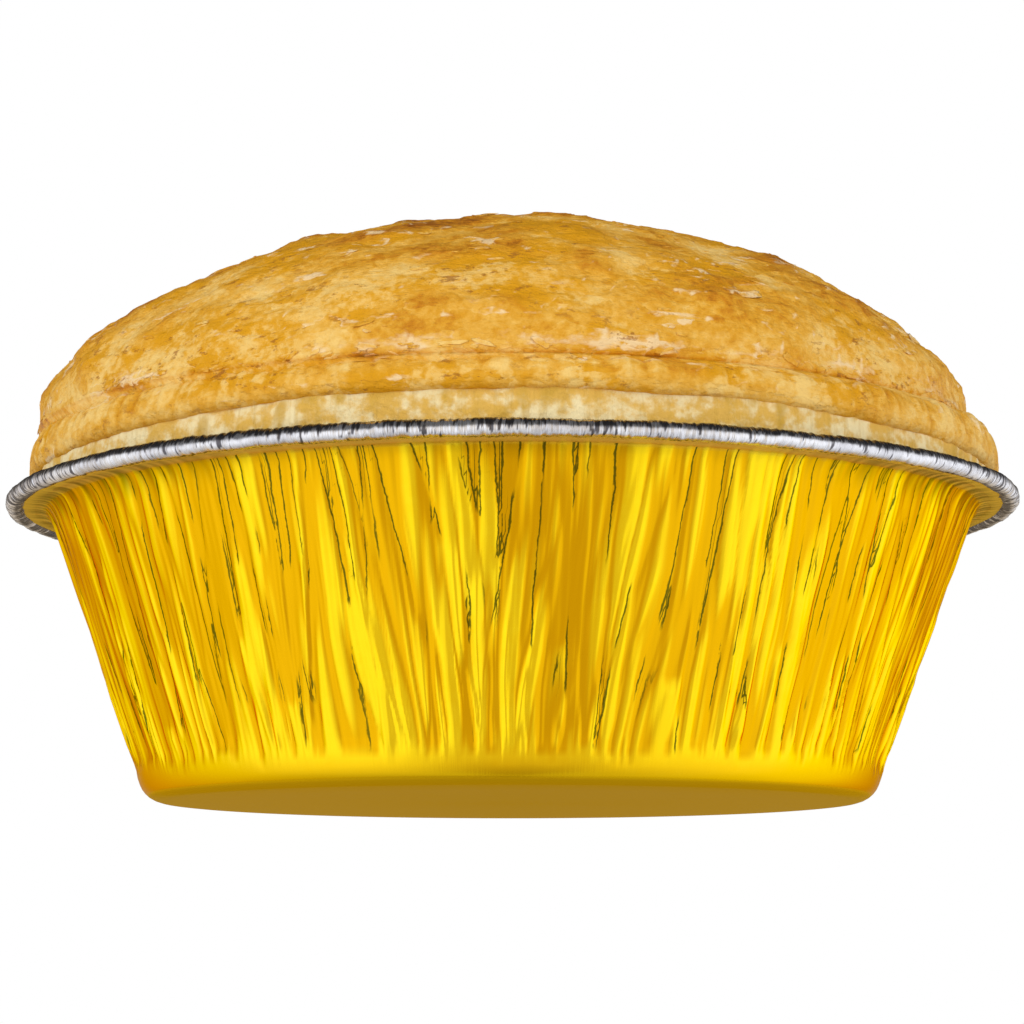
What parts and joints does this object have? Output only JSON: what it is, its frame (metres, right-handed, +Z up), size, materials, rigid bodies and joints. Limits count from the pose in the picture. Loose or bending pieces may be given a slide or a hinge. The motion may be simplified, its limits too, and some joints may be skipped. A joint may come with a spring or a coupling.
{
  "type": "chicken pot pie",
  "caption": "Individual deep pot pie with a domed puff pastry lid, baked in a flared pleated foil tin with a rolled rim.",
  "frame": {"origin": "centre of the tin's flat underside", "axes": "+Z up through the middle of the pie; -Y towards the shown side; +X to the right of the shown side"},
  "size_m": [0.12, 0.12, 0.0682],
  "materials": {
    "gold_foil": "gold-lacquered crinkled foil outside, bare silver foil on the flange and rolled rim",
    "pale_pastry": "pale, barely browned shortcrust, matte",
    "baked_pastry": "golden brown flaky puff pastry with a slight egg-wash sheen"
  },
  "bodies": {
    "root": {"foil_tin": "gold_foil", "base_pastry": "pale_pastry", "pastry_lid": "baked_pastry"}
  },
  "joints": []
}
